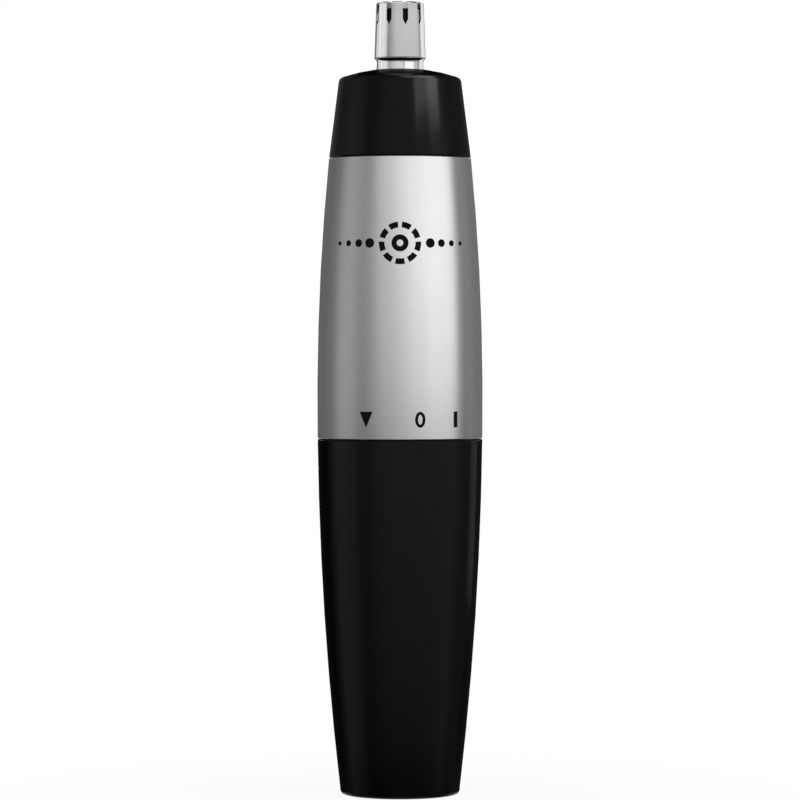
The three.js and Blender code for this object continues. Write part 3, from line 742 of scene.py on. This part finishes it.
def draw_emblem(bm):
    """A ring with nine gaps round a hub, like a cutting head from above, between two rows of dots."""
    pitch = 360 / EMBLEM["teeth"]
    gap = EMBLEM["gap"]
    for i in range(EMBLEM["teeth"]):
        draw_ring(bm, EMBLEM["inner"], EMBLEM["outer"], 0, 90 + pitch * i + gap / 2, pitch - gap)
    draw_ring(bm, EMBLEM["hole"], EMBLEM["hub"])
    for i in range(DOTS["count"]):
        place = DOTS["first"] + DOTS["step"] * i
        radius = DOTS["radius"] - DOTS["shrink"] * i
        for side in (-1, 1):
            draw_ring(bm, 0.02, radius, side * place)


printed("mark_off", draw_zero)
printed("mark_on", draw_one)
printed("mark_release", draw_release)
printed("emblem", draw_emblem)

# ---------------------------------------------------------------- studio

# The studio's brightness is the product of a list by azimuth, from the camera's side towards its right, and a
# list by elevation.
ROUND_ABOUT = [  # the walls by azimuth
    (-180, 0.01), (-124, 0.02), (-110, 0.18), (-101, 0.46), (-90, 0.60), (-71, 0.62), (-61, 0.38),
    (-54, 0.31), (-42, 0.42), (-28, 0.57), (-10, 0.66), (40, 0.68), (80, 0.68), (93, 0.34), (104, 0.22),
    (116, 0.16), (128, 0.05), (180, 0.01),
]
UP_AND_DOWN = [  # and by elevation
    (-90, 0.5), (-40, 0.5), (-30, 0.3), (-24, 0.03), (-20, 0.15), (-17, 0.42), (-13, 0.62), (-5, 0.85),
    (0, 0.92), (8, 1.0), (15, 0.82), (30, 0.8), (50, 0.6), (90, 0.6),
]
BEHIND = [  # the floor's glow behind the object, by azimuth
    (-180, 0.6), (-140, 0.6), (-115, 0), (115, 0), (140, 0.6), (180, 0.6),
]
LOW_DOWN = [(-90, 1), (-22, 1), (-12, 0), (90, 0)]  # and by elevation
BARREL_BOXES = [  # soft lights that only the sleeve mirrors, as azimuths, elevations and radiance
    ((-34, 88), (-14, 60), 0.07), ((-5, 88), (-14, 60), 0.13), ((12, 87), (-14, 60), 0.12),
    ((35, 86), (-14, 60), 0.13), ((-58, 88), (6, 60), 0.10), ((-34, 88), (7, 60), 0.25),
    ((-4, 88), (6, 60), 0.18), ((14, 88), (3, 15), 0.26), ((38, 84), (3, 14), 0.50),
    ((-165, -112), (-20, 40), 0.17), ((108, 165), (-20, 40), 0.20),
]
HEAD_BOXES = [  # and that only the plated head mirrors
    ((-165, -62), (-20, 40), 0.20), ((-138, -76), (-20, 40), 0.12), ((-138, -100), (-20, 40), 0.40),
    ((84, 112), (-20, 40), 0.20), ((112, 158), (-20, 40), 0.85), ((-60, 60), (40, 70), 0.45),
]
BODY_HEIGHT, COLLAR_HEIGHT, NECK_HEIGHT, CAP_HEIGHT = 66.0, 113, 122, 127  # where lights aim, on the axis


def filled_ramp(nodes, stops):
    """A colour ramp node with the given (position, grey) stops."""
    made = nodes.new("ShaderNodeValToRGB")
    elements = made.color_ramp.elements
    while len(elements) < len(stops):
        elements.new(0.5)
    for element, (position, grey) in zip(elements, stops):
        element.position = position
        element.color = (grey, grey, grey, 1)
    return made


def studio_world():
    """White paper behind the object, and grey studio walls in its reflections."""
    world = bpy.data.worlds.new("studio")
    bpy.context.scene.world = world
    world.use_nodes = True
    nodes, links = world.node_tree.nodes, world.node_tree.links
    nodes.clear()

    def math(operation, *values):
        made = nodes.new("ShaderNodeMath")
        made.operation = operation
        for i, value in enumerate(values):
            if isinstance(value, (int, float)):
                made.inputs[i].default_value = value
            else:
                links.new(value, made.inputs[i])
        return made.outputs[0]

    ray = nodes.new("ShaderNodeTexCoord")
    parts = nodes.new("ShaderNodeSeparateXYZ")
    links.new(ray.outputs["Generated"], parts.inputs[0])
    azimuth = math("ARCTAN2", parts.outputs["X"], math("MULTIPLY", parts.outputs["Y"], -1.0))
    elevation = math("ARCSINE", parts.outputs["Z"])
    across = math("ADD", math("DIVIDE", azimuth, 2 * pi), 0.5)
    upward = math("ADD", math("DIVIDE", elevation, pi), 0.5)

    def lobe(azimuth_stops, elevation_stops):
        """The product of a ramp by azimuth and a ramp by elevation."""
        by_azimuth = filled_ramp(nodes, [(angle / 360 + 0.5, grey) for angle, grey in azimuth_stops])
        by_elevation = filled_ramp(nodes, [(angle / 180 + 0.5, grey) for angle, grey in elevation_stops])
        links.new(across, by_azimuth.inputs[0])
        links.new(upward, by_elevation.inputs[0])
        return math("MULTIPLY", by_azimuth.outputs["Color"], by_elevation.outputs["Color"])

    studio = nodes.new("ShaderNodeBackground")
    studio.inputs["Color"].default_value = (1, 1, 1, 1)
    walls, floor_glow = lobe(ROUND_ABOUT, UP_AND_DOWN), lobe(BEHIND, LOW_DOWN)
    links.new(math("ADD", walls, floor_glow), studio.inputs["Strength"])
    paper = nodes.new("ShaderNodeBackground")
    paper.inputs["Color"].default_value = (1, 1, 1, 1)
    path = nodes.new("ShaderNodeLightPath")
    mix = nodes.new("ShaderNodeMixShader")
    out = nodes.new("ShaderNodeOutputWorld")
    links.new(path.outputs["Is Camera Ray"], mix.inputs[0])
    links.new(studio.outputs[0], mix.inputs[1])
    links.new(paper.outputs[0], mix.inputs[2])
    links.new(mix.outputs[0], out.inputs["Surface"])


PAPER = {"size": 60, "drop": 0.0002, "white_from": 0.08, "least_white": 0.93}  # metres, and a share of white


def studio_floor():
    """A white paper floor that only the camera sees. Close to the object it takes a faint shadow."""
    bpy.ops.mesh.primitive_plane_add(size=PAPER["size"], location=(0, 0, -PAPER["drop"]))
    floor = bpy.context.object
    floor.name = "paper_floor"
    floor.visible_glossy = False
    floor.visible_diffuse = False
    material = bpy.data.materials.new("floor_paper")
    material.use_nodes = True
    nodes, links = material.node_tree.nodes, material.node_tree.links
    nodes.clear()
    matt = nodes.new("ShaderNodeBsdfDiffuse")
    matt.inputs["Color"].default_value = (0.9, 0.9, 0.9, 1)
    white = nodes.new("ShaderNodeEmission")
    seen = nodes.new("ShaderNodeMixShader")
    place = nodes.new("ShaderNodeTexCoord")
    away = nodes.new("ShaderNodeVectorMath")
    away.operation = "LENGTH"
    fade = nodes.new("ShaderNodeMapRange")
    fade.inputs["From Max"].default_value = PAPER["white_from"]
    fade.inputs["To Min"].default_value = PAPER["least_white"]
    links.new(place.outputs["Object"], away.inputs[0])
    links.new(away.outputs["Value"], fade.inputs["Value"])
    links.new(fade.outputs["Result"], seen.inputs[0])
    out = nodes.new("ShaderNodeOutputMaterial")
    links.new(matt.outputs[0], seen.inputs[1])
    links.new(white.outputs[0], seen.inputs[2])
    links.new(seen.outputs[0], out.inputs["Surface"])
    floor.data.materials.append(material)


def softbox(name, azimuths, elevations, radiance, receivers=(), distance=0.6, height=BODY_HEIGHT):
    """A flat soft light that spans two azimuths and two elevations, seen from a height on the axis.

    With receivers it lights, and is mirrored by, only those pieces.
    """
    middle_azimuth = radians(sum(azimuths) / 2)
    middle_elevation = radians(sum(elevations) / 2)
    data = bpy.data.lights.new(name, "AREA")
    data.shape = "RECTANGLE"
    data.size = 2 * distance * tan(radians(azimuths[1] - azimuths[0]) / 2)
    data.size_y = 2 * distance * tan(radians(elevations[1] - elevations[0]) / 2)
    data.energy = radiance * pi * data.size * data.size_y
    lamp = bpy.data.objects.new(name, data)
    bpy.context.scene.collection.objects.link(lamp)
    back = Vector((sin(middle_azimuth) * cos(middle_elevation), -cos(middle_azimuth) * cos(middle_elevation),
                   sin(middle_elevation)))
    lamp.location = Vector((0, 0, height * MM)) + back * distance
    lamp.rotation_euler = (-back).to_track_quat("-Z", "Y").to_euler()
    if receivers:
        group = bpy.data.collections.new(name + "_receivers")
        for piece in receivers:
            group.objects.link(piece)
        lamp.light_linking.receiver_collection = group
    return lamp


CAMERA = {"lens": 185.3, "sensor": 36, "eye": (0, -0.687, 0.0752), "aim": (0, 0, 0.0657)}  # places in metres


def camera():
    """A long lens from just above the object's middle, as in the photo."""
    data = bpy.data.cameras.new("camera")
    data.lens = CAMERA["lens"]
    data.sensor_width = CAMERA["sensor"]
    eye = bpy.data.objects.new("camera", data)
    bpy.context.scene.collection.objects.link(eye)
    eye.location = CAMERA["eye"]
    eye.rotation_euler = (Vector(CAMERA["aim"]) - eye.location).to_track_quat("-Z", "Y").to_euler()
    bpy.context.scene.camera = eye


studio_world()
studio_floor()
key = softbox("key", (18, 62), (30, 70), 1.5, distance=0.9)
key.visible_glossy = False
softbox("rear_fill", (155, 205), (14, 50), 0.8, [housing, sleeve])
for azimuths, elevations, radiance in BARREL_BOXES:
    softbox("barrel_box", azimuths, elevations, radiance, [sleeve])
for azimuths, elevations, radiance in HEAD_BOXES:
    softbox("head_box", azimuths, elevations, radiance, plated, height=CAP_HEIGHT)
softbox("neck_band", (-62, 12), (-3, 40), 0.13, [head_base], height=NECK_HEIGHT)
softbox("neck_glint", (25, 72), (-3, 40), 0.5, [head_base], height=NECK_HEIGHT)
softbox("housing_wall", (116, 135), (-12, 40), 0.26, [housing], distance=0.3)
softbox("collar_left", (-165, -108), (-10, 40), 0.12, [collar])
softbox("collar_right", (116, 165), (-10, 40), 0.05, [collar])
softbox("collar_band", (26, 73), (16, 70), 2.8, [collar], distance=0.15, height=COLLAR_HEIGHT)
softbox("collar_band_core", (50, 73), (12, 70), 2.0, [collar], distance=0.15, height=COLLAR_HEIGHT)
camera()
bpy.context.scene.view_settings.view_transform = "Standard"
bpy.context.scene.view_settings.look = "None"
